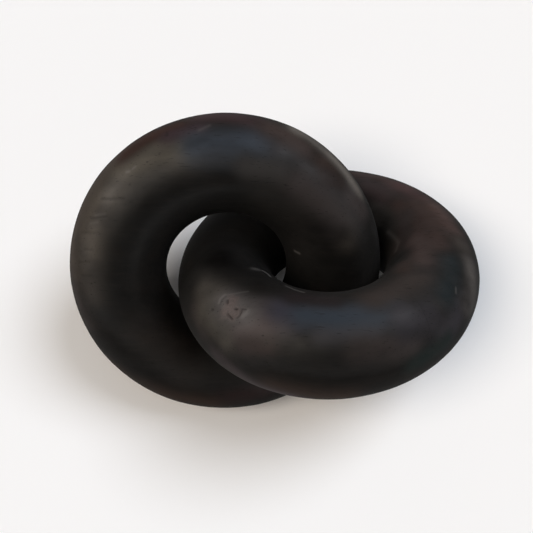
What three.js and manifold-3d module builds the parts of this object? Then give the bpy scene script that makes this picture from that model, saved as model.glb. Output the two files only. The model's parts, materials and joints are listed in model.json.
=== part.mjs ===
// Two linked wooden rings, an ornament that lies on a table.
//
// Each ring is a fat closed loop that passes through the hole of the other. The left ring is
// turned in one piece. The right ring is slightly oval and is made of two half rings, closed
// round the left ring and glued, with two dowels in each glue joint. The left ring is a solid
// of revolution, so the right ring can be drawn all the way round it.
//
// Millimetres, +Z up. The origin is on the table, under the middle of the object, and +X runs
// from the left ring to the right ring.

import * as THREE from 'three';
import { mergeVertices } from 'three/addons/utils/BufferGeometryUtils.js';
import Module from 'manifold-3d';

// Sizes of the rings
const tubeRadial = 18.6; // half the tube's width, measured across the ring
const tubeAxial = 19.3; // half the tube's width, measured along the ring's axis
const linkRoom = 4.1; // gap between a hole's wall and a tube that passes through its middle
const centreDrop = 1.5; // how far each tube passes from the middle of the hole that it links
const ovalRise = 2.9; // what the oval adds to the right ring's radius one way and takes off the other
const ovalTurn = 153.5; // degrees round the right ring to the long side of its oval
const restDepth = 0.5; // depth of the sanded flat that each ring rests on

// How the rings lie, as degrees that a ring's axis leans from upright and the heading it leans to
const leftLean = 41.5;
const leftHeading = -82;
const rightLean = 34.4;
const rightHeading = 89.2;

// Glue joints of the right ring
const jointTurn = 215; // degrees round the right ring to its first glue joint
const glueLine = 0.3; // gap between the two half rings
const dowelRadius = 4;
const dowelDepth = 15; // how far a dowel reaches into each half ring
const dowelSpacing = 15; // between the two dowels of a joint
const dowelClearance = 0.3; // between a dowel and the wall and end of its hole

// Facets
const ringSteps = 72;
const tubeSteps = 24;
const dowelSides = 16;

// Worked out from the sizes above
const holeRadius = tubeAxial + linkRoom;
const coreRadius = holeRadius + tubeRadial;
const ringSpacing = coreRadius - centreDrop;
const cutSize = 4 * (coreRadius + tubeRadial + ovalRise); // edge of a block larger than a ring
const jointTurns = [jointTurn, jointTurn + 180];

const radians = THREE.MathUtils.degToRad;
const wasm = await Module();
wasm.setup();

const leftWood = new THREE.MeshStandardMaterial({ color: 0x2a2725, roughness: 0.45, metalness: 0 });
const rightWood = new THREE.MeshStandardMaterial({ color: 0x282523, roughness: 0.45, metalness: 0 });
const dowelWood = new THREE.MeshStandardMaterial({ color: 0xc9a877, roughness: 0.7, metalness: 0 });

// Booleans

function solidOf(geometry) {
  const bare = geometry.clone();
  bare.deleteAttribute('normal');
  bare.deleteAttribute('uv');
  const merged = mergeVertices(bare);
  return new wasm.Manifold(
    new wasm.Mesh({
      numProp: 3,
      vertProperties: new Float32Array(merged.attributes.position.array),
      triVerts: new Uint32Array(merged.index.array),
    }),
  );
}

function geometryOf(solid) {
  const { vertProperties, triVerts } = solid.getMesh();
  const geometry = new THREE.BufferGeometry();
  geometry.setAttribute('position', new THREE.BufferAttribute(new Float32Array(vertProperties), 3));
  geometry.setIndex(new THREE.BufferAttribute(new Uint32Array(triVerts), 1));
  geometry.computeVertexNormals();
  return geometry;
}

// The rings, with their axis along Z

// How much farther out the right ring's centre line lies at an angle round the ring
function ovalShift(angle) {
  return ovalRise * Math.cos(2 * (angle - radians(ovalTurn)));
}

// A full ring of revolution with an oval section
function roundRing() {
  const profile = [];
  for (let step = 0; step <= tubeSteps; step += 1) {
    const angle = (2 * Math.PI * (step % tubeSteps)) / tubeSteps;
    const out = coreRadius + tubeRadial * Math.cos(angle);
    profile.push(new THREE.Vector2(out, tubeAxial * Math.sin(angle)));
  }
  return new THREE.LatheGeometry(profile, ringSteps).rotateX(Math.PI / 2);
}

// The same ring drawn into an oval: every point moves straight out or in
function ovalRing() {
  const ring = roundRing();
  const points = ring.attributes.position;
  const point = new THREE.Vector3();
  for (let i = 0; i < points.count; i += 1) {
    point.fromBufferAttribute(points, i);
    const angle = Math.atan2(point.y, point.x);
    const shift = ovalShift(angle);
    points.setX(i, point.x + shift * Math.cos(angle));
    points.setY(i, point.y + shift * Math.sin(angle));
  }
  return ring;
}

// A group that leans a ring to its heading and lowers it until its flat lies on the table
function lyingGroup(ring, lean, heading, x) {
  const group = new THREE.Group();
  group.rotation.set(0, radians(lean), radians(heading), 'ZYX');
  group.updateMatrixWorld();
  const lying = ring.clone().applyMatrix4(group.matrixWorld);
  lying.computeBoundingBox();
  group.position.set(x, 0, -lying.boundingBox.min.z - restDepth);
  group.updateMatrixWorld();
  return group;
}

// Everything below the table, in the group's own frame
function belowTable(group) {
  const block = new THREE.BoxGeometry(cutSize, cutSize, cutSize);
  block.translate(0, 0, -cutSize / 2);
  block.applyMatrix4(group.matrixWorld.clone().invert());
  return solidOf(block);
}

// The glue joints of the right ring

// The frame of a joint: +X out from the ring's centre, +Y along the tube, +Z along the axis
function jointFrame(turn) {
  const angle = radians(turn);
  const out = coreRadius + ovalShift(angle);
  const frame = new THREE.Matrix4().makeRotationZ(angle);
  frame.setPosition(out * Math.cos(angle), out * Math.sin(angle), 0);
  return frame;
}

// A round rod that lies across a joint, centred on it
function rodAcross(radius, reach, side) {
  const rod = new THREE.CylinderGeometry(radius, radius, 2 * reach, dowelSides);
  return rod.translate(0, 0, (side * dowelSpacing) / 2);
}

function dowelHoles() {
  const holes = [];
  for (const turn of jointTurns) {
    for (const side of [-1, 1]) {
      const hole = rodAcross(dowelRadius + dowelClearance, dowelDepth + dowelClearance, side);
      holes.push(solidOf(hole.applyMatrix4(jointFrame(turn))));
    }
  }
  return holes;
}

// What is cut away to leave the half ring on one side of the plane through both joints
function farSide(side) {
  const block = new THREE.BoxGeometry(cutSize, cutSize, cutSize);
  block.translate(0, side * (glueLine / 2 - cutSize / 2), 0);
  return solidOf(block.rotateZ(radians(jointTurn)));
}

// Assembly

const sculpture = new THREE.Group();

function addMesh(parent, name, geometry, material) {
  const mesh = new THREE.Mesh(geometry, material);
  mesh.name = name;
  parent.add(mesh);
  return mesh;
}

const leftShape = roundRing();
const leftGroup = lyingGroup(leftShape, leftLean, leftHeading, -ringSpacing / 2);
const leftSolid = solidOf(leftShape).subtract(belowTable(leftGroup));
addMesh(leftGroup, 'left_ring', geometryOf(leftSolid), leftWood);
sculpture.add(leftGroup);

const rightShape = ovalRing();
const rightGroup = lyingGroup(rightShape, rightLean, rightHeading, ringSpacing / 2);
let rightSolid = solidOf(rightShape).subtract(belowTable(rightGroup));
for (const hole of dowelHoles()) {
  rightSolid = rightSolid.subtract(hole);
}
for (const [name, side] of [['right_ring_outer_half', 1], ['right_ring_inner_half', -1]]) {
  addMesh(rightGroup, name, geometryOf(rightSolid.subtract(farSide(side))), rightWood);
}
jointTurns.forEach((turn, joint) => {
  for (const [letter, side] of [['a', -1], ['b', 1]]) {
    const dowel = addMesh(
      rightGroup,
      `joint_${joint + 1}_dowel_${letter}`,
      rodAcross(dowelRadius, dowelDepth, side),
      dowelWood,
    );
    dowel.applyMatrix4(jointFrame(turn));
  }
});
sculpture.add(rightGroup);

// The middle of the object goes over the origin
sculpture.updateMatrixWorld(true);
const middle = new THREE.Box3().setFromObject(sculpture, true).getCenter(new THREE.Vector3());
sculpture.position.set(-middle.x, -middle.y, 0);

export default sculpture;
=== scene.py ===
# %% [markdown]
# # Two linked wooden rings
#
# The object is an ornament: two fat wooden rings, each passing through the hole of the other,
# stained black and waxed. This lesson dresses the rings in Blender. It takes their places from
# the finished construction model, makes their fine surfaces, and gives them their wood.

import json
import math

import bpy
import numpy as np
from mathutils import Matrix, Vector


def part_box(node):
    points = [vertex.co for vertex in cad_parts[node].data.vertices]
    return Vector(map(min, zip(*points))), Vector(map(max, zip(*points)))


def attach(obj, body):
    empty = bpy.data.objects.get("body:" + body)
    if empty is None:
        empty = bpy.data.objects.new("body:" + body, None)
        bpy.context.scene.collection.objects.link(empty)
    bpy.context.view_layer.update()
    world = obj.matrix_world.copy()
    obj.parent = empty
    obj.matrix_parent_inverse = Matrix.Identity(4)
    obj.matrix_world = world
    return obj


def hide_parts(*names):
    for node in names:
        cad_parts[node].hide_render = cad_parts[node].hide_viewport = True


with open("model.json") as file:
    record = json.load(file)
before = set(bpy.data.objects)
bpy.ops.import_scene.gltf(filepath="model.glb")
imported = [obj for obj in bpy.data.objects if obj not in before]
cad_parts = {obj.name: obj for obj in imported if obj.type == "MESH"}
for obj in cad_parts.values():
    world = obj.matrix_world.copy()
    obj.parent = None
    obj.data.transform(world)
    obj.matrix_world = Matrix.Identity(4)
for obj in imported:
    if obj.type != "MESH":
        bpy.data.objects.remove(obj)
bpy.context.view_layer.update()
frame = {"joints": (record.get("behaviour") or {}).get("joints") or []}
MM = 0.001


# %% [markdown]
# ## Where the rings lie
#
# The left ring turns on the model's one hinge, so the hinge gives its middle and its axis. The
# right ring is glued from two halves with two dowels in each joint. The four dowels lie evenly
# about its middle, and the line through a joint's two dowels runs along its axis.

# %% Find the middle and the axes of each ring
def middle(node):
    low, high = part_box(node)
    return (low + high) / 2


def ring_place(centre, axis):
    """A matrix whose Z is the ring's axis and whose X points steepest down in the ring's plane."""
    up = Vector((0, 0, 1))
    down = (axis * up.dot(axis) - up).normalized()
    turned = Matrix((down, axis.cross(down), axis)).transposed().to_4x4()
    return Matrix.Translation(centre) @ turned


hinge = frame["joints"][0]
left_place = ring_place(Vector(hinge["pos_m"]), Vector(hinge["axis"]).normalized())

dowel_names = [f"joint_{joint}_dowel_{letter}" for joint in (1, 2) for letter in "ab"]
dowel_middles = [middle(name) for name in dowel_names]
right_centre = sum(dowel_middles, Vector()) / len(dowel_middles)
right_axis = (dowel_middles[1] - dowel_middles[0]).normalized()
right_place = ring_place(right_centre, right_axis)
joint_out = ((dowel_middles[0] + dowel_middles[1]) / 2 - right_centre).normalized()
joint_along = right_axis.cross(joint_out)
print("left ring middle, mm:", [round(v / MM, 1) for v in left_place.translation])
print("right ring middle, mm:", [round(v / MM, 1) for v in right_centre])


# %% [markdown]
# ## The camera
#
# The picture looks steeply down at the rings from the front. The camera's place is given from
# the middle of the left ring, so that it keeps its view of the rings wherever they lie.

# %% Set the camera
CAMERA_FROM_LEFT_RING = Vector((17.4, -106.1, 299.9)) * MM
CAMERA_ELEVATION = math.radians(70.4)
CAMERA_HEADING = math.radians(-1.0)
CAMERA_ROLL = math.radians(0.2)
SENSOR_MM = 36
LENS_MM = 54.7

level = math.cos(CAMERA_ELEVATION)
look = Vector((
    math.sin(CAMERA_HEADING) * level,
    math.cos(CAMERA_HEADING) * level,
    -math.sin(CAMERA_ELEVATION),
))
camera_data = bpy.data.cameras.new("picture_camera")
camera_data.sensor_width = SENSOR_MM
camera_data.lens = LENS_MM
camera = bpy.data.objects.new("picture_camera", camera_data)
bpy.context.scene.collection.objects.link(camera)
aim = look.to_track_quat("-Z", "Y").to_matrix().to_4x4()
stand = Matrix.Translation(left_place.translation + CAMERA_FROM_LEFT_RING)
camera.matrix_world = stand @ aim @ Matrix.Rotation(CAMERA_ROLL, 4, "Z")
bpy.context.scene.camera = camera
print("camera, mm:", [round(v / MM) for v in stand.translation])


# %% [markdown]
# ## Helpers for colours, selections and materials
#
# A colour is written as an sRGB hex value, as a paint program shows it, and is turned to the
# linear value that the shader works with. Operators act on all that is selected, so each piece
# is picked alone before it is worked on. One function adds a node to a material and links it, and
# hands back the output that the next node reads. A Mix node has sockets for numbers and vectors
# too, with the same names, so its sockets for colours are picked by their numbers.

# %% Write the helpers
MIX_SHARE, MIX_UNDER, MIX_OVER, MIX_RESULT = 0, 6, 7, 2


def srgb(hex_colour):
    levels = [int(hex_colour[i:i + 2], 16) / 255 for i in (1, 3, 5)]
    return tuple(v / 12.92 if v <= 0.04045 else ((v + 0.055) / 1.055) ** 2.4 for v in levels) + (1,)


def pick(*objects):
    bpy.ops.object.select_all(action="DESELECT")
    for piece in objects:
        piece.select_set(True)
    bpy.context.view_layer.objects.active = objects[0]


def add(tree, kind, settings, output=0):
    """Adds a node and returns one of its outputs, by its number or name.

    Settings gives {property or input: its value, or the output that feeds it}.
    """
    node = tree.nodes.new(kind)
    for key, value in settings.items():
        if isinstance(value, bpy.types.NodeSocket):
            tree.links.new(value, node.inputs[key])
        elif isinstance(key, str) and hasattr(node, key):
            setattr(node, key, value)
        else:
            node.inputs[key].default_value = value
    return node.outputs[output] if node.outputs else None


def new_material(name):
    material = bpy.data.materials.new(name)
    material.use_nodes = True
    material.node_tree.nodes.clear()
    return material, material.node_tree


def apply_modifier(piece, kind, **settings):
    pick(piece)
    modifier = piece.modifiers.new(kind.lower(), kind)
    for key, value in settings.items():
        setattr(modifier, key, value)
    bpy.ops.object.modifier_apply(modifier=modifier.name)


# %% [markdown]
# ## The floor and the light
#
# The rings lie on a plain pale floor under soft studio light. Each lamp is a sun with a wide
# disc, which acts like a big softbox far away: it lights the whole floor evenly and leaves soft
# shadows. The warm one, high at the front left, lights everything. The cool one, high at the back
# right, lights only what is matt. So does the weak one straight above, which fills the shadows on
# the floor. Two more show only in the wax, as tall softboxes beside the table do: a low one on
# the left wakes the gleam on the knot and along the outer side of the left ring, and one on the
# right draws a gleam over both rings. The last, low and very weak, warms the back. A strength of
# 1 makes a white surface that faces the lamp look white. The room has white walls that reach only
# a little way up, so that a low camera sees white behind the rings while their tops stay black.

# %% Lay the floor and hang the lights
FLOOR_SIZE = 60.0
FLOOR_COLOUR, WALL_COLOUR = "#f7f7f7", "#f8f6f3"
WALL_TOP, CEILING_START = math.radians(5), math.radians(14)
CEILING_STRENGTH = 0.06
SUN_WIDTH = math.radians(30)
# Name, heading and height in degrees (heading 0 is along +X, 90 along +Y), strength, colour, and
# which surfaces it lights
LAMPS = [
    ("warm_high_left", 210, 60, 0.52, "#fff3e6", "all"),
    ("cool_high_right", 30, 60, 0.54, "#f0f6ff", "matt"),
    ("raking_left", 165, 12, 0.55, "#fff4ea", "glossy"),
    ("gleam_right", 30, 35, 0.40, "#f6f8ff", "glossy"),
    ("low_back", 90, 12, 0.03, "#ffd9c8", "all"),
    ("overhead", 90, 88, 0.08, "#e8f3ff", "matt"),
]


def make_floor():
    bpy.ops.object.select_all(action="DESELECT")
    bpy.ops.mesh.primitive_plane_add(size=FLOOR_SIZE)
    floor = bpy.context.object
    floor.name = "floor"
    material, tree = new_material("pale_floor_paint")
    shader = add(tree, "ShaderNodeBsdfDiffuse", {"Color": srgb(FLOOR_COLOUR)})
    add(tree, "ShaderNodeOutputMaterial", {"Surface": shader})
    floor.data.materials.append(material)


make_floor()
for name, heading, height, strength, colour, lit in LAMPS:
    lamp = bpy.data.lights.new(name, "SUN")
    lamp.angle = SUN_WIDTH
    lamp.energy = strength * math.pi
    lamp.color = srgb(colour)[:3]
    light = bpy.data.objects.new(name, lamp)
    bpy.context.scene.collection.objects.link(light)
    turn_to_heading = Matrix.Rotation(math.radians(heading + 90), 4, "Z")
    light.matrix_world = turn_to_heading @ Matrix.Rotation(math.radians(90 - height), 4, "X")
    light.visible_diffuse = lit != "glossy"
    light.visible_glossy = lit != "matt"


def make_studio():
    """White walls low down, all round, and a dark ceiling above them."""
    world = bpy.data.worlds.new("studio")
    world.use_nodes = True
    tree = world.node_tree
    tree.nodes.clear()
    direction = add(tree, "ShaderNodeTexCoord", {}, "Generated")
    height = add(tree, "ShaderNodeSeparateXYZ", {"Vector": direction}, "Z")
    wall_to_ceiling = {
        "interpolation_type": "SMOOTHSTEP",
        "Value": height,
        "From Min": math.sin(WALL_TOP),
        "From Max": math.sin(CEILING_START),
        "To Min": 1.0,
        "To Max": CEILING_STRENGTH,
    }
    strength = add(tree, "ShaderNodeMapRange", wall_to_ceiling)
    glow = add(tree, "ShaderNodeBackground", {"Color": srgb(WALL_COLOUR), "Strength": strength})
    add(tree, "ShaderNodeOutputWorld", {"Surface": glow})
    bpy.context.scene.world = world


make_studio()
bpy.context.scene.view_settings.view_transform = "Standard"
print("lamps:", len(LAMPS))


# %% [markdown]
# ## The flaws in the wood
#
# A branch left a small pin knot on the right ring, with a curved crack round it and a few open
# pits. Elsewhere there are short checks along the grain, a scratch and some worn edges, which show
# pale bare wood that also serves as painted glints. Each flaw is a line of points, given by an
# angle round the ring and an angle round its tube. The lists come before the rings, because the
# mesh is cut finer wherever a flaw will be pressed into it.

# %% List the flaws
# Each flaw: its points as degrees (round the ring, round the tube), its half width in mm, its
# depth in mm, and how strongly it shows, from 0 to 1
KNOT_TURN, KNOT_AROUND = math.radians(140), math.radians(49)
RIGHT_CRACKS = [
    ([(144, 45), (144.5, 48), (144.5, 52), (144, 56), (145.5, 57.5)], 0.28, 0.30, 0.8),
    ([(135, 47), (134.5, 52), (135, 58)], 0.26, 0.20, 0.35),
    ([(132.6, 36.5), (133.4, 37.5)], 0.36, 0.30, 0.5),
    ([(136.7, 55.5), (137.4, 53)], 0.36, 0.45, 0.9),
    ([(141.8, 52.6), (142.2, 52.9)], 0.40, 0.50, 1.0),
    ([(139.8, 43.4), (142.5, 41.5)], 0.28, 0.40, 0.9),
    ([(132, 112), (134, 118), (138, 118)], 0.50, 0.20, 0.4),
]
# Worn places show pale bare wood, which also serves as painted glints along edges and cracks
RIGHT_WORN_AND_GLINTS = [
    ([(132, 119), (133.5, 122), (136, 122), (139.5, 119.5)], 0.32, 0.06, 0.8),
    ([(130, 108), (131, 114)], 1.00, 0.03, 0.25),
    ([(152, 114), (158, 110), (163, 108)], 0.40, 0.06, 0.5),
    ([(238, 50), (236, 46)], 0.40, 0.05, 0.25),
    ([(134.2, 47), (133.6, 52), (134.2, 58)], 0.40, 0.04, 0.25),
    ([(134.8, 59), (137, 64), (139.4, 71), (141.4, 76)], 0.35, 0.03, 0.15),
    ([(145.6, 49), (146.2, 53), (146.4, 56)], 0.90, 0.05, 0.3),
    ([(302, 148), (291, 145), (279, 141), (271, 146)], 1.10, 0.03, 0.12),
]
LEFT_CRACKS = [
    ([(228.5, 42), (225.5, 54), (222, 64)], 0.55, 0.10, 0.45),
    ([(237, 44), (232.5, 60)], 0.50, 0.10, 0.35),
    ([(244.5, 36), (240.5, 59)], 0.50, 0.06, 0.25),
    ([(249.5, 49), (248, 60)], 0.50, 0.08, 0.30),
    ([(255.5, 43), (253.5, 59)], 0.50, 0.08, 0.30),
    ([(260.5, 48), (259, 65)], 0.50, 0.06, 0.20),
    ([(195.5, 21), (195.5, 27)], 0.45, 0.15, 0.6),
]
# Worn places show pale bare wood, which also serves as painted glints along edges and cracks
LEFT_WORN_AND_GLINTS = [
    ([(214.5, 43), (213.5, 45)], 0.50, 0.04, 0.3),
    ([(212, 45), (210.5, 45)], 0.45, 0.04, 0.2),
    ([(235, 47), (232, 57)], 0.50, 0.03, 0.10),
    ([(239, 45), (236.5, 54)], 0.50, 0.03, 0.10),
    ([(184, 33), (180.5, 28)], 0.80, 0.05, 0.12),
    ([(105.5, 136), (107.5, 142)], 0.55, 0.05, 0.4),
]


def nearness(points, line, width, falloff=2):
    """From 1 on a line of points, through 1/e at its half width in mm, to 0 well away from it.

    A higher falloff gives a sharper edge.
    """
    nearest = np.full(len(points), np.inf)
    for start, end in zip(line, line[1:]):
        along = end - start
        squared = max(along @ along, 1e-12)  # a round spot's line has no length
        share = np.clip((points - start) @ along / squared, 0, 1)
        gap = np.linalg.norm(points - start - share[:, None] * along, axis=1)
        nearest = np.minimum(nearest, gap)
    return np.exp(-((nearest / (width * MM)) ** falloff))


print("flaws on the left ring:", len(LEFT_CRACKS + LEFT_WORN_AND_GLINTS))
print("flaws on the right ring:", len(RIGHT_CRACKS + RIGHT_WORN_AND_GLINTS))


# %% [markdown]
# ## A ring's body
#
# A ring like this is turned on a lathe, or sawn out and rasped round. In Blender it starts as a
# torus. The tube is a touch wider along the axis than across, and the right ring is slightly
# oval. Scaling the torus to an oval would thin its tube, so each point is set on the ring's true
# surface by code instead. That also rounds the patches that were cut finer, since Subdivide by
# itself only adds points to flat faces.

# %% Turn the rings
CORE_RADIUS = 42.0 * MM
TUBE_RADIAL = 18.6 * MM
TUBE_AXIAL = 19.3 * MM
OVAL_RISE = 2.9 * MM
OVAL_TURN = math.radians(153.5)
RING_STEPS = 320
TUBE_STEPS = 128
FINE_CUTS = 3
FINE_REACH = 1.6  # mm round a flaw
AT_REACH = math.exp(-1)  # the nearness at that reach


def on_ring(turn, around, rise=0.0):
    """The point of a ring's surface at an angle round the ring and an angle round its tube."""
    core = CORE_RADIUS + rise * np.cos(2 * (turn - OVAL_TURN))
    out = core + TUBE_RADIAL * np.cos(around)
    return np.stack([out * np.cos(turn), out * np.sin(turn), TUBE_AXIAL * np.sin(around)], -1)


def read_points(source, attribute="co"):
    points = np.zeros(len(source) * 3)
    source.foreach_get(attribute, points)
    return points.reshape(-1, 3)


def move_points(piece, points):
    piece.data.vertices.foreach_set("co", points.ravel())
    piece.data.update()


def select_faces(piece, chosen):
    """Selects the faces where chosen is true, and nothing else."""
    mesh = piece.data
    mesh.vertices.foreach_set("select", [False] * len(mesh.vertices))
    mesh.edges.foreach_set("select", [False] * len(mesh.edges))
    mesh.polygons.foreach_set("select", chosen)
    pick(piece)
    bpy.ops.object.mode_set(mode="EDIT")
    bpy.ops.mesh.select_mode(type="FACE")


def flaw_line(places, rise):
    angles = np.radians(np.array(places))
    return on_ring(angles[:, 0], angles[:, 1], rise)


def turn_ring(name, flaws, rise=0.0):
    bpy.ops.object.select_all(action="DESELECT")
    bpy.ops.mesh.primitive_torus_add(
        major_segments=RING_STEPS,
        minor_segments=TUBE_STEPS,
        major_radius=CORE_RADIUS,
        minor_radius=TUBE_RADIAL,
    )
    ring = bpy.context.object
    ring.name = name
    centres = read_points(ring.data.polygons, "center")
    near = np.zeros(len(centres))
    for places, *_ in flaws:
        near = np.maximum(near, nearness(centres, flaw_line(places, 0.0), FINE_REACH))
    select_faces(ring, near > AT_REACH)
    bpy.ops.mesh.subdivide(number_cuts=FINE_CUTS)
    bpy.ops.object.mode_set(mode="OBJECT")
    points = read_points(ring.data.vertices)
    out = np.hypot(points[:, 0], points[:, 1]) - CORE_RADIUS
    turn = np.arctan2(points[:, 1], points[:, 0])
    move_points(ring, on_ring(turn, np.arctan2(points[:, 2], out), rise))
    return ring


def triangles(piece):
    return sum(len(polygon.vertices) - 2 for polygon in piece.data.polygons)


left_ring = turn_ring("left_ring_wood", LEFT_CRACKS + LEFT_WORN_AND_GLINTS)
right_ring = turn_ring("right_ring_wood", RIGHT_CRACKS + RIGHT_WORN_AND_GLINTS, OVAL_RISE)
print("triangles in the rings:", triangles(left_ring), triangles(right_ring))


# %% [markdown]
# ## Hand work
#
# The surface was rasped and sanded by hand, so it isn't perfectly round: under a lamp its gleam
# wavers. A Displace modifier with a broad cloud pattern takes up to a quarter of a millimetre
# off. It only ever cuts inwards, because wood is only taken away, and so the rings stay clear of
# each other.

# %% Rasp the surfaces
RASP_DEPTH = 0.28 * MM  # where the cloud pattern is wholly black
RASP_SPREAD = 17 * MM

clouds = bpy.data.textures.new("rasp_marks", "CLOUDS")
clouds.noise_scale = RASP_SPREAD
clouds.noise_depth = 1
for ring in (left_ring, right_ring):
    before = read_points(ring.data.vertices)
    apply_modifier(
        ring, "DISPLACE", texture=clouds, texture_coords="LOCAL", mid_level=1.0, strength=RASP_DEPTH
    )
    taken_off = np.linalg.norm(read_points(ring.data.vertices) - before, axis=1)
    print(ring.name, "rasped off at most, mm:", round(taken_off.max() / MM, 2))


# %% [markdown]
# ## Press in the flaws
#
# Points of the mesh near a flaw's line are pressed in along the surface's normal. How strongly
# the flaw shows at each point is kept in an attribute, which the material reads later.

# %% Press in the flaws
def press(ring, flaws, attribute, rise=0.0):
    points = read_points(ring.data.vertices)
    normals = read_points(ring.data.vertex_normals, "vector")
    marks = np.zeros(len(points))
    for places, width, depth, strength in flaws:
        pressed = nearness(points, flaw_line(places, rise), width)
        points = points - normals * (pressed * depth * MM)[:, None]
        marks = np.maximum(marks, pressed * strength)
    move_points(ring, points)
    ring.data.attributes.new(attribute, "FLOAT", "POINT").data.foreach_set("value", marks)


press(left_ring, LEFT_CRACKS, "crack")
press(left_ring, LEFT_WORN_AND_GLINTS, "worn_and_glint")
press(right_ring, RIGHT_CRACKS, "crack", OVAL_RISE)
press(right_ring, RIGHT_WORN_AND_GLINTS, "worn_and_glint", OVAL_RISE)
deepest = max(depth for places, width, depth, strength in LEFT_CRACKS + RIGHT_CRACKS)
print("deepest flaw, mm:", deepest)


# %% [markdown]
# ## The stain, with painted light and shade, and the wax
#
# The stain isn't even, and the patches painted on it carry light and shade as well. It lies black
# in the hole and underneath, and where hands and cloths rub the outside it has thinned to warm grey
# and brown, most of all over the knot, where the hard wood took little of it; these lighter patches
# are also painted highlights, in place of the wax's gleam. In places the patches are blue black, in
# others red brown: partly the stain's hue, partly painted reflections. The blackest patch, where
# the right ring lies in the left ring's hole, is painted shade. These soft patches are painted on
# the mesh as a colour for each point. Each patch follows a line round the ring. The wax isn't even
# either: a cloth buffed it smooth in some places and left it dull in others, and that is painted
# in the same way, as a number for each point. How far out a point lies from the tube's middle is
# kept too, because the outer side is worn duller.

# %% Paint the stain with its painted light and shade, and the wax
STAIN = "#070605"  # where no patch is painted
STAIN_AND_LIGHT_FALLOFF = 2.4
# Each patch: its points as degrees (round the ring, round the tube), its half width in mm and
# the colour there: the stain's tone, and in many patches painted highlights, reflections or shade
LEFT_STAIN_AND_LIGHT = [
    ([(150, 110), (140, 112), (126, 116), (112, 126)], 8, "#1c1a18"),
    ([(292, 108), (314, 112), (332, 100)], 8, "#171412"),
    # Painted highlights: the broad pale gleam along the left ring's outer left side
    ([(214, 12), (232, 17), (250, 22), (262, 28)], 6.5, "#3a332d"),
    ([(268, 32), (280, 37)], 5, "#2c2624"),
    ([(230, 40), (241, 48), (254, 54)], 6.3, "#423c35"),
    ([(225, 51), (216, 46)], 4.5, "#45403a"),
    ([(262, 58), (267, 61)], 5.5, "#2b2621"),
    ([(216, 34), (209, 42), (201, 42), (194, 50)], 5.5, "#433e36"),
    # Red brown and blue patches: partly the stain's hue, partly painted reflections
    ([(212, 16), (202, 13), (192, 16)], 5, "#2b150d"),
    ([(183, 6), (174, 10), (164, 16)], 5, "#2f2022"),
    ([(195, 29), (185, 31)], 4, "#2a1c20"),
    ([(186, 52), (174, 56), (163, 52)], 6.5, "#2d333b"),
    ([(154, 53)], 4, "#222224"),
    ([(166, 77), (152, 75)], 5, "#2a2827"),
    ([(158, 24), (146, 29)], 6, "#352b28"),
    ([(136, 36), (132, 42)], 5, "#281c17"),
    ([(140, 75), (126, 74), (113, 69)], 6.3, "#2f2a29"),
    ([(106, 75)], 5, "#27231f"),
    # A painted highlight: the thin pale gleam along the left ring's outer rim at the top right
    ([(149, 8), (141, 11), (132, 15), (124, 21), (118, 25)], 3.8, "#5b554f"),
    ([(132, 48), (127, 41)], 4, "#190f0c"),
    ([(119, 42), (112, 36)], 4.5, "#2e2827"),
    ([(304, 27), (318, 43), (332, 49), (348, 56)], 6, "#24170f"),
    ([(356, 71), (370, 76)], 6, "#1c1010"),
]
RIGHT_STAIN_AND_LIGHT = [
    # Painted shade: near black where the right ring lies inside the left ring's hole
    ([(82, 80), (96, 82), (112, 88), (128, 94)], 9, "#030202"),
    # Painted highlights: the pale gleam over the knot and the shoulder round it
    ([(124, 44), (130, 50)], 5, "#302c27"),
    ([(127, 22), (132, 10)], 4.5, "#282221"),
    ([(130, 30), (136, 30), (142, 20)], 5.5, "#39352f"),
    ([(152, 64), (160, 56)], 5, "#332e2f"),
    ([(148, 38), (154, 46)], 5, "#3c3332"),
    ([(137, 50), (146, 54)], 5.5, "#4a4645"),
    # Blue grey patches along the right ring's front: partly the stain's hue, partly painted
    # reflections
    ([(158, 70), (165, 70)], 5, "#2d2c34"),
    ([(175, 54), (182, 54), (192, 51)], 4.5, "#2c2a2c"),
    ([(167, 72), (180, 72), (194, 70)], 5.2, "#272e36"),
    ([(198, 73), (204, 73)], 4, "#1f2931"),
    ([(160, 93), (170, 94), (178, 94)], 4, "#140d0f"),
    ([(187, 34), (196, 32), (206, 28)], 5, "#2a2422"),
    ([(206, 58), (206, 46), (217, 43)], 6, "#1f1c20"),
    ([(197, 88), (211, 92), (228, 90)], 6, "#28211e"),
    ([(238, 36), (230, 24), (222, 16)], 5, "#272529"),
    # Painted highlights: the pale band along the right ring's outer side at the right
    ([(257, 43), (250, 33), (244, 23)], 5.2, "#484441"),
    ([(240, 28)], 4.5, "#3f3b39"),
    ([(251, 69), (239, 57), (230, 52)], 4.8, "#0b1518"),
    # Red brown patches: partly the stain's hue, partly painted reflections
    ([(346, 83), (334, 80), (326, 84)], 4.5, "#322624"),
    ([(320, 82), (308, 78)], 6, "#3d2b2a"),
    ([(296, 78), (279, 72)], 6, "#483834"),
    ([(268, 60)], 5, "#332e2a"),
    ([(336, 104), (324, 112)], 5, "#281e1e"),
    ([(300, 98), (280, 94), (262, 92)], 5.5, "#2c1f1b"),
    ([(310, 113), (296, 112), (280, 110), (268, 111)], 4, "#21130f"),
    ([(268, 118), (254, 108), (242, 100)], 5, "#2d201d"),
    ([(236, 119), (230, 112)], 4, "#291e1a"),
    ([(272, 144), (286, 130), (300, 118)], 4, "#191110"),
    ([(160, 336), (170, 335), (184, 331)], 6, "#281d17"),
    ([(150, 22), (157, 30)], 4, "#251c1a"),
    ([(140, 347), (148, 333), (156, 324), (166, 319)], 4.5, "#383032"),
    ([(207, 2), (216, 6), (223, 9)], 4, "#0a1716"),
]
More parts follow.
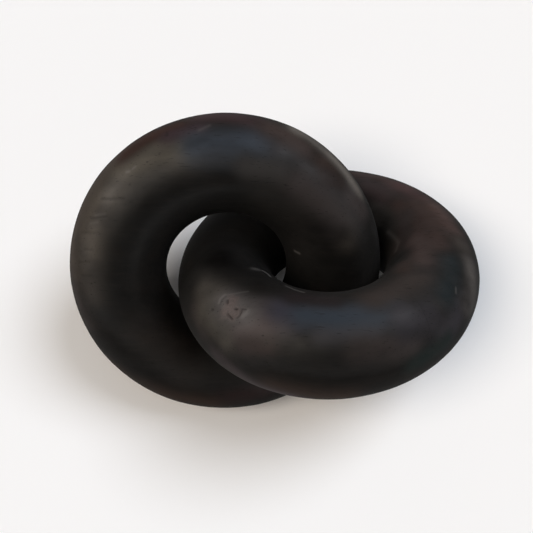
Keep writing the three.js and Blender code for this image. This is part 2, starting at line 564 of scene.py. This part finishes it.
# Each place where the wax differs: its points, its half width in mm, and how much rougher it is
# there, or smoother where the number is negative
LEFT_WAX = [
    ([(290, 71), (306, 79), (324, 77), (342, 82), (358, 81)], 7, 0.32),
    ([(101, 26), (95, 30), (91, 38)], 4, -0.25),
    ([(224, 50), (217, 46)], 4.5, -0.10),
    ([(142, 13), (133, 17), (126, 22), (120, 28)], 3, -0.30),
]
RIGHT_WAX = [
    ([(160, 353), (172, 357), (184, 356), (200, 352)], 5, 0.32),
    ([(84, 76), (80, 92), (82, 108)], 6, 0.35),
    ([(109, 46), (114, 74), (115, 105), (119, 127)], 7, -0.30),
    ([(122, 94), (130, 104), (140, 104)], 5.5, -0.30),
    ([(148, 102), (158, 103), (168, 106)], 5, -0.22),
    ([(322, 139), (314, 139)], 4, 0.35),
    ([(268, 120), (252, 107), (241, 98)], 6, -0.14),
]


def coverage(points, places, width, rise, falloff=2):
    """How much of a patch each point gets. A patch with a single place is a round spot."""
    return nearness(points, flaw_line(places + places[-1:], rise), width, falloff)


def paint(ring, stain_and_light_patches, wax_patches, rise=0.0):
    points = read_points(ring.data.vertices)
    colours = np.tile(srgb(STAIN), (len(points), 1))
    for places, width, colour in stain_and_light_patches:
        share = coverage(points, places, width, rise, STAIN_AND_LIGHT_FALLOFF)[:, None]
        colours = colours * (1 - share) + np.array(srgb(colour)) * share
    stain_and_light = ring.data.attributes.new("stain_and_light", "FLOAT_COLOR", "POINT")
    stain_and_light.data.foreach_set("color", colours.ravel())
    wax = np.zeros(len(points))
    for places, width, change in wax_patches:
        share = coverage(points, places, width, rise)
        wax = wax * (1 - share) + change * share
    ring.data.attributes.new("wax", "FLOAT", "POINT").data.foreach_set("value", wax)
    turn = np.arctan2(points[:, 1], points[:, 0])
    core = CORE_RADIUS + rise * np.cos(2 * (turn - OVAL_TURN))
    out = (np.hypot(points[:, 0], points[:, 1]) - core) / TUBE_RADIAL
    ring.data.attributes.new("outer", "FLOAT", "POINT").data.foreach_set("value", out)


paint(left_ring, LEFT_STAIN_AND_LIGHT, LEFT_WAX)
paint(right_ring, RIGHT_STAIN_AND_LIGHT, RIGHT_WAX, OVAL_RISE)
print("patches of stain:", len(LEFT_STAIN_AND_LIGHT + RIGHT_STAIN_AND_LIGHT), "of wax:", len(LEFT_WAX + RIGHT_WAX))


# %% [markdown]
# ## Lay the rings down
#
# Each ring is moved to its place, and its place is kept in the mesh, so that patterns in the
# wood stay put. Where it touches the table the ring is sanded flat: the mesh is cut at the
# table's level and the cut is filled.

# %% Lay and sand the rings
CUT_TOLERANCE = 1e-7


def cut_away(piece, plane_point, keep_side):
    """Cuts the mesh by a plane, keeps the part that keep_side points to, and fills the cut."""
    pick(piece)
    bpy.ops.object.mode_set(mode="EDIT")
    bpy.ops.mesh.select_all(action="SELECT")
    bpy.ops.mesh.bisect(
        plane_co=plane_point,
        plane_no=keep_side,
        use_fill=True,
        clear_inner=True,
        threshold=CUT_TOLERANCE,
    )
    bpy.ops.object.mode_set(mode="OBJECT")


for ring, place in ((left_ring, left_place), (right_ring, right_place)):
    pick(ring)
    ring.matrix_world = place
    bpy.ops.object.transform_apply(location=True, rotation=True, scale=True)
    cut_away(ring, (0, 0, 0), (0, 0, 1))
    print(ring.name, "height on the table, mm:", round(ring.dimensions.z / MM, 1))


# %% [markdown]
# ## The glued halves
#
# A closed ring can't be threaded through another. The right ring is made as two halves, closed
# round the left one and glued end to end, with dowels across the joints. Once it is stained
# the joint is a hairline. Each half is a copy of the whole ring cut through both joints, with
# the dowel holes bored into its ends.

# %% Split the right ring and bore its ends
JOINT_HAIRLINE = 0.03 * MM
DOWEL_RADIUS = 4 * MM
DOWEL_REACH = 15 * MM
HOLE_CLEARANCE = 0.3 * MM
HOLE_SIDES = 32
# A joint's dowels run across the plane that cuts the ring, along this direction
dowel_turn = joint_along.to_track_quat("Z", "Y")


def rod(name, place, radius, reach, sides):
    bpy.ops.object.select_all(action="DESELECT")
    bpy.ops.mesh.primitive_cylinder_add(
        vertices=sides, radius=radius, depth=2 * reach, location=place, rotation=dowel_turn.to_euler()
    )
    made = bpy.context.object
    made.name = name
    return made


def bored_half(name, side):
    pick(right_ring)
    bpy.ops.object.duplicate()
    half = bpy.context.object
    half.name = name
    keep = joint_along * side
    cut_away(half, right_centre + keep * JOINT_HAIRLINE / 2, keep)
    hole_radius, hole_reach = DOWEL_RADIUS + HOLE_CLEARANCE, DOWEL_REACH + HOLE_CLEARANCE
    drills = [rod("drill", place, hole_radius, hole_reach, HOLE_SIDES) for place in dowel_middles]
    pick(*drills)
    bpy.ops.object.join()
    apply_modifier(half, "BOOLEAN", object=drills[0], operation="DIFFERENCE", solver="EXACT")
    bpy.data.objects.remove(drills[0])
    return half


outer_half = bored_half("right_ring_outer_wood", 1)
inner_half = bored_half("right_ring_inner_wood", -1)
bpy.data.objects.remove(right_ring)
print("triangles in the halves:", triangles(outer_half), triangles(inner_half))


# %% [markdown]
# ## The dowels
#
# A bought dowel pin is beech, pressed through a die that leaves straight flutes for the glue to
# run along, with its ends chamfered to find the hole. Every other edge of a many-sided rod is
# drawn in to make the flutes, and the ends are bevelled.

# %% Make the dowels
FLUTES = 18
FLUTE_DEPTH = 0.25 * MM
CHAMFER = 0.8 * MM


def make_dowel(name, place):
    dowel = rod(name, place, DOWEL_RADIUS, DOWEL_REACH, 2 * FLUTES)
    bpy.ops.object.transform_apply(location=True, rotation=True, scale=True)
    points = read_points(dowel.data.vertices)
    along = (points - np.array(place)) @ np.array(joint_along)
    outwards = points - np.array(place) - np.outer(along, joint_along)
    outwards /= np.linalg.norm(outwards, axis=1)[:, None]
    drawn_in = (np.arange(len(points)) // 2) % 2
    move_points(dowel, points - outwards * (drawn_in * FLUTE_DEPTH)[:, None])
    ends = [len(polygon.vertices) > 4 for polygon in dowel.data.polygons]
    select_faces(dowel, ends)
    bpy.ops.mesh.bevel(offset=CHAMFER, segments=1)
    bpy.ops.object.mode_set(mode="OBJECT")
    return dowel


dowels = [make_dowel(name + "_pin", place) for name, place in zip(dowel_names, dowel_middles)]
print("dowels:", len(dowels), "with", triangles(dowels[0]), "triangles each")


# %% [markdown]
# ## Patterns with a real size
#
# Each pattern in the wood is noise that is drawn out to the length, width and height of a real
# fibre, pore or cloud of stain in millimetres. It reads Object coordinates, which are metres, so
# it keeps its size and stays put when a ring moves. Each pattern adds a number of its own to the
# wood's seed, so that no two patterns line up.

# %% Draw noise out to a size
def drawn_noise(tree, place, size_mm, detail, seed=0.0):
    """Noise whose blotches have the given length, width and height. The seed picks another part."""
    scale = tuple(1 / (side * MM) for side in size_mm)
    stretch = {"Vector": place, "Scale": scale, "Location": (seed, seed, seed)}
    stretched = add(tree, "ShaderNodeMapping", stretch)
    return add(tree, "ShaderNodeTexNoise", {"Vector": stretched, "Scale": 1.0, "Detail": detail})


# %% [markdown]
# ## The pin knot
#
# A knot is the end of a branch: a small round of harder wood with its own rings, redder than the
# wood about it, because the stain takes less on end grain that has been burnished. Its rings are
# a sine of the distance from its middle, and noise added to that distance makes them ragged.

# %% Write the knot's colour
KNOT_CORE = 2.2 * MM
KNOT_EDGE = 5.2 * MM
KNOT_RING_SPACING = 1.1 * MM
KNOT_RAGGED = 1.6 * MM
KNOT_RAG_SIZE = 3.5 * MM
KNOT_DARK, KNOT_PALE = srgb("#473c3a"), srgb("#544744")
KNOT_SHARE = 0.6


def knot_layer(tree, place, knot):
    """How much the knot shows at each place, and its colour."""
    noise = {"Vector": place, "Scale": 1 / KNOT_RAG_SIZE, "Detail": 2.0}
    ragged = {
        "Value": add(tree, "ShaderNodeTexNoise", noise),
        "From Min": 0.3,
        "From Max": 0.7,
        "To Min": -KNOT_RAGGED,
        "To Max": KNOT_RAGGED,
    }
    ragged = add(tree, "ShaderNodeMapRange", ragged)
    from_middle = {"operation": "DISTANCE", 0: place, 1: tuple(knot)}
    distance = add(tree, "ShaderNodeVectorMath", from_middle, "Value")
    distance = add(tree, "ShaderNodeMath", {"operation": "ADD", 0: distance, 1: ragged})
    edge = {
        "Value": distance,
        "From Min": KNOT_CORE,
        "From Max": KNOT_EDGE,
        "To Min": 1.0,
        "To Max": 0.0,
    }
    inside = add(tree, "ShaderNodeMapRange", edge)
    share = add(tree, "ShaderNodeMath", {"operation": "MULTIPLY", 0: inside, 1: KNOT_SHARE})
    turns = {"operation": "MULTIPLY", 0: distance, 1: math.tau / KNOT_RING_SPACING}
    wave = add(tree, "ShaderNodeMath", {"operation": "SINE", 0: add(tree, "ShaderNodeMath", turns)})
    rings = add(tree, "ShaderNodeMapRange", {"Value": wave, "From Min": -1.0, "From Max": 1.0})
    tones = {"data_type": "RGBA", MIX_SHARE: rings, MIX_UNDER: KNOT_DARK, MIX_OVER: KNOT_PALE}
    return share, add(tree, "ShaderNodeMix", tones, MIX_RESULT)


# %% [markdown]
# ## The black stain
#
# The finish is a black stain rubbed into an open-grained hardwood, then waxed. The stain is thin:
# brown shows through it in clouds, most where hands rub it. The grain still shows, as fine paler
# lines and as short open pores, which stay blacker. It runs the length of the board, along X, so
# its patterns are long along X. The colours are laid over each other like coats, and each coat
# has a share from 0 to 1.

# %% Write the stain's colour, with the painted light and shade
GRAIN_LINE = (38.0, 1.1, 1.1)  # mm
PORE = (5.5, 0.5, 0.5)  # mm, drawn wider than a real pore so that it shows
CLOUD = (30.0, 16.0, 16.0)  # mm
THICK_STAIN, THIN_STAIN = srgb("#070606"), srgb("#30261f")
PALE_GRAIN = srgb("#2e2824")
OLD_STAIN = srgb("#040303")
# The pale of worn places, also used as painted glints
BARE_WOOD_AND_GLINT = srgb("#7b7774")
PORE_SHARE, FLAW_SHARE = 0.6, 0.8


def stain_and_light_colour(tree, place, seed, line, pore, crack, knot):
    """The wood's colour, from painted patches that also hold painted highlights, reflections and
    shade.

    It is broken up as the wood took the finish, with its pores, rubbed places with painted glints,
    and cracks.
    """
    cloud = drawn_noise(tree, place, CLOUD, 4.0, seed)
    thick = {"Value": cloud, "From Min": 0.50, "From Max": 0.25, "To Max": 0.75}
    thin = {"Value": cloud, "From Min": 0.55, "From Max": 0.85, "To Max": 0.20}
    pale = {"Value": line, "From Min": 0.50, "From Max": 0.80, "To Max": 0.14}
    in_pore = {"operation": "MULTIPLY", 0: pore, 1: PORE_SHARE}
    coats = [
        (add(tree, "ShaderNodeMapRange", thick), THICK_STAIN),
        (add(tree, "ShaderNodeMapRange", thin), THIN_STAIN),
        (add(tree, "ShaderNodeMapRange", pale), PALE_GRAIN),
        (add(tree, "ShaderNodeMath", in_pore), OLD_STAIN),
    ]
    if knot is not None:
        coats.append(knot_layer(tree, place, knot))
    # Worn places show the bare wood, which also stands in for painted glints, and cracks hold old
    # stain and dust
    worn_and_glint = add(tree, "ShaderNodeAttribute", {"attribute_name": "worn_and_glint"}, "Fac")
    for mark, colour in ((worn_and_glint, BARE_WOOD_AND_GLINT), (crack, OLD_STAIN)):
        share = add(tree, "ShaderNodeMath", {"operation": "MULTIPLY", 0: mark, 1: FLAW_SHARE})
        coats.append((share, colour))
    # The painted patches are the first coat: the stain's tones, with painted highlights, reflections
    # and shade in many of them
    tone = add(tree, "ShaderNodeAttribute", {"attribute_name": "stain_and_light"}, "Color")
    for share, colour in coats:
        coat = {"data_type": "RGBA", MIX_SHARE: share, MIX_UNDER: tone, MIX_OVER: colour}
        tone = add(tree, "ShaderNodeMix", coat, MIX_RESULT)
    return tone


# %% [markdown]
# ## The wax
#
# The wax gives a broad, low gleam. It lies thick and smooth in the hole, and handling has dulled
# the outer side. To that are added the painted places, the cloth's uneven strokes, and the
# pores and cracks, which are dull. Seen at a low angle, the open grain hides its own wax, so the
# rims stay dull too.

# %% Write the wax's roughness
WAX_IOR = 1.33
SMOOTH_IN_HOLE, DULL_OUTSIDE = 0.42, 0.60
BUFFING = (9.0, 6.0, 6.0)  # mm
BUFFED_BY = 0.05
DULL_IN_PORE, DULL_IN_CRACK, DULL_AT_RIM = 0.12, 0.2, 0.50


def wax_roughness(tree, place, seed, pore, crack):
    outer = {
        "Value": add(tree, "ShaderNodeAttribute", {"attribute_name": "outer"}, "Fac"),
        "From Min": -0.2,
        "From Max": 1.0,
        "To Min": SMOOTH_IN_HOLE,
        "To Max": DULL_OUTSIDE,
    }
    buffed = {
        "Value": drawn_noise(tree, place, BUFFING, 2.0, seed + 11),
        "From Min": 0.35,
        "From Max": 0.70,
        "To Min": BUFFED_BY,
        "To Max": -BUFFED_BY,
    }
    rim = {
        "Value": add(tree, "ShaderNodeLayerWeight", {"Blend": 0.5}, "Facing"),
        "From Min": 0.15,
        "From Max": 0.55,
        "To Max": DULL_AT_RIM,
    }
    changes = [
        add(tree, "ShaderNodeAttribute", {"attribute_name": "wax"}, "Fac"),
        add(tree, "ShaderNodeMapRange", buffed),
        add(tree, "ShaderNodeMath", {"operation": "MULTIPLY", 0: pore, 1: DULL_IN_PORE}),
        add(tree, "ShaderNodeMath", {"operation": "MULTIPLY", 0: crack, 1: DULL_IN_CRACK}),
        add(tree, "ShaderNodeMapRange", rim),
    ]
    roughness = add(tree, "ShaderNodeMapRange", outer)
    for change in changes:
        roughness = add(tree, "ShaderNodeMath", {"operation": "ADD", 0: roughness, 1: change})
    return roughness


# %% [markdown]
# ## The relief
#
# Under the wax the surface isn't flat: pores are hollows, grain lines stand up a little, and
# sanding leaves fine marks along the grain. These are a tenth of a millimetre high at most, so a
# Bump node draws them instead of the mesh.

# %% Write the relief and mix the stained wood
SANDING = (3.0, 0.22, 0.22)  # mm, coarser than fine sanding leaves, so that it shows
RELIEF_HEIGHT = 0.1 * MM
# The share of that height that each pattern has
LINE_HEIGHT, SANDING_HEIGHT, PORE_DEPTH = 0.5, 0.15, 0.4


def wood_relief(tree, place, seed, line, pore):
    sanding = drawn_noise(tree, place, SANDING, 1.0, seed + 5)
    grain = add(tree, "ShaderNodeMath", {"operation": "MULTIPLY", 0: line, 1: LINE_HEIGHT})
    marks = add(tree, "ShaderNodeMath", {"operation": "MULTIPLY", 0: sanding, 1: SANDING_HEIGHT})
    hollows = add(tree, "ShaderNodeMath", {"operation": "MULTIPLY", 0: pore, 1: PORE_DEPTH})
    relief = add(tree, "ShaderNodeMath", {"operation": "ADD", 0: grain, 1: marks})
    relief = add(tree, "ShaderNodeMath", {"operation": "SUBTRACT", 0: relief, 1: hollows})
    bump = {"Strength": 0.35, "Distance": RELIEF_HEIGHT, "Height": relief}
    return add(tree, "ShaderNodeBump", bump)


def stained_wood(name, seed, knot=None):
    material, tree = new_material(name)
    place = add(tree, "ShaderNodeTexCoord", {}, "Object")
    line = drawn_noise(tree, place, GRAIN_LINE, 4.0, seed + 7)
    pores = drawn_noise(tree, place, PORE, 1.0, seed + 3)
    pore = add(tree, "ShaderNodeMapRange", {"Value": pores, "From Min": 0.66, "From Max": 0.74})
    crack = add(tree, "ShaderNodeAttribute", {"attribute_name": "crack"}, "Fac")
    wood = {
        "IOR": WAX_IOR,
        "Base Color": stain_and_light_colour(tree, place, seed, line, pore, crack, knot),
        "Roughness": wax_roughness(tree, place, seed, pore, crack),
        "Normal": wood_relief(tree, place, seed, line, pore),
    }
    shader = add(tree, "ShaderNodeBsdfPrincipled", wood)
    add(tree, "ShaderNodeOutputMaterial", {"Surface": shader})
    print(name, "has", len(tree.nodes), "nodes")
    return material


# %% [markdown]
# ## The bare beech of the dowels
#
# Beech is pale and even, with fine darker flecks along the grain. It is neither stained nor
# waxed, because glue has to hold on it. The dowels lie aslant, so the pattern is first turned
# upright, and then its flecks run along them.

# %% Mix the beech
BEECH_FLECK = (0.35, 0.35, 2.4)  # mm
BEECH_PALE, BEECH_DARK = srgb("#cfae82"), srgb("#a9815a")
BEECH_IOR, BEECH_ROUGHNESS = 1.5, 0.72
BEECH_RELIEF = 0.05 * MM


def bare_beech():
    material, tree = new_material("bare_pressed_beech")
    place = add(tree, "ShaderNodeTexCoord", {}, "Object")
    upright = dowel_turn.inverted().to_euler()
    place = add(tree, "ShaderNodeMapping", {"Vector": place, "Rotation": upright})
    fleck = drawn_noise(tree, place, BEECH_FLECK, 2.0)
    share = add(tree, "ShaderNodeMapRange", {"Value": fleck, "From Min": 0.45, "From Max": 0.70})
    tones = {"data_type": "RGBA", MIX_SHARE: share, MIX_UNDER: BEECH_PALE, MIX_OVER: BEECH_DARK}
    bump = {"Strength": 0.3, "Distance": BEECH_RELIEF, "Height": fleck}
    beech = {
        "IOR": BEECH_IOR,
        "Roughness": BEECH_ROUGHNESS,
        "Base Color": add(tree, "ShaderNodeMix", tones, MIX_RESULT),
        "Normal": add(tree, "ShaderNodeBump", bump),
    }
    add(tree, "ShaderNodeOutputMaterial", {"Surface": add(tree, "ShaderNodeBsdfPrincipled", beech)})
    print(material.name, "has", len(tree.nodes), "nodes")
    return material


# %% [markdown]
# ## Put it together
#
# Each piece gets its wood, rides on the body of the ring that it belongs to, and stands for the
# plain solid of the construction model.

# %% Dress and fasten the pieces
SMOOTH_BELOW = math.radians(40)  # edges with a smaller angle are shaded smooth

knot_angles = np.array([KNOT_TURN]), np.array([KNOT_AROUND])
knot_point = right_place @ Vector(on_ring(*knot_angles, OVAL_RISE)[0])
left_wood = stained_wood("black_stained_waxed_wood_left", 0.0)
right_wood = stained_wood("black_stained_waxed_wood_right", 40.0, knot_point)
beech = bare_beech()


def fasten(piece, material, body, node):
    piece.data.materials.clear()
    piece.data.materials.append(material)
    pick(piece)
    bpy.ops.object.shade_smooth_by_angle(angle=SMOOTH_BELOW)
    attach(piece, body)
    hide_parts(node)


fasten(left_ring, left_wood, "left_link", "left_ring")
fasten(outer_half, right_wood, "right_link", "right_ring_outer_half")
fasten(inner_half, right_wood, "right_link", "right_ring_inner_half")
for dowel, node in zip(dowels, dowel_names):
    fasten(dowel, beech, "right_link", node)
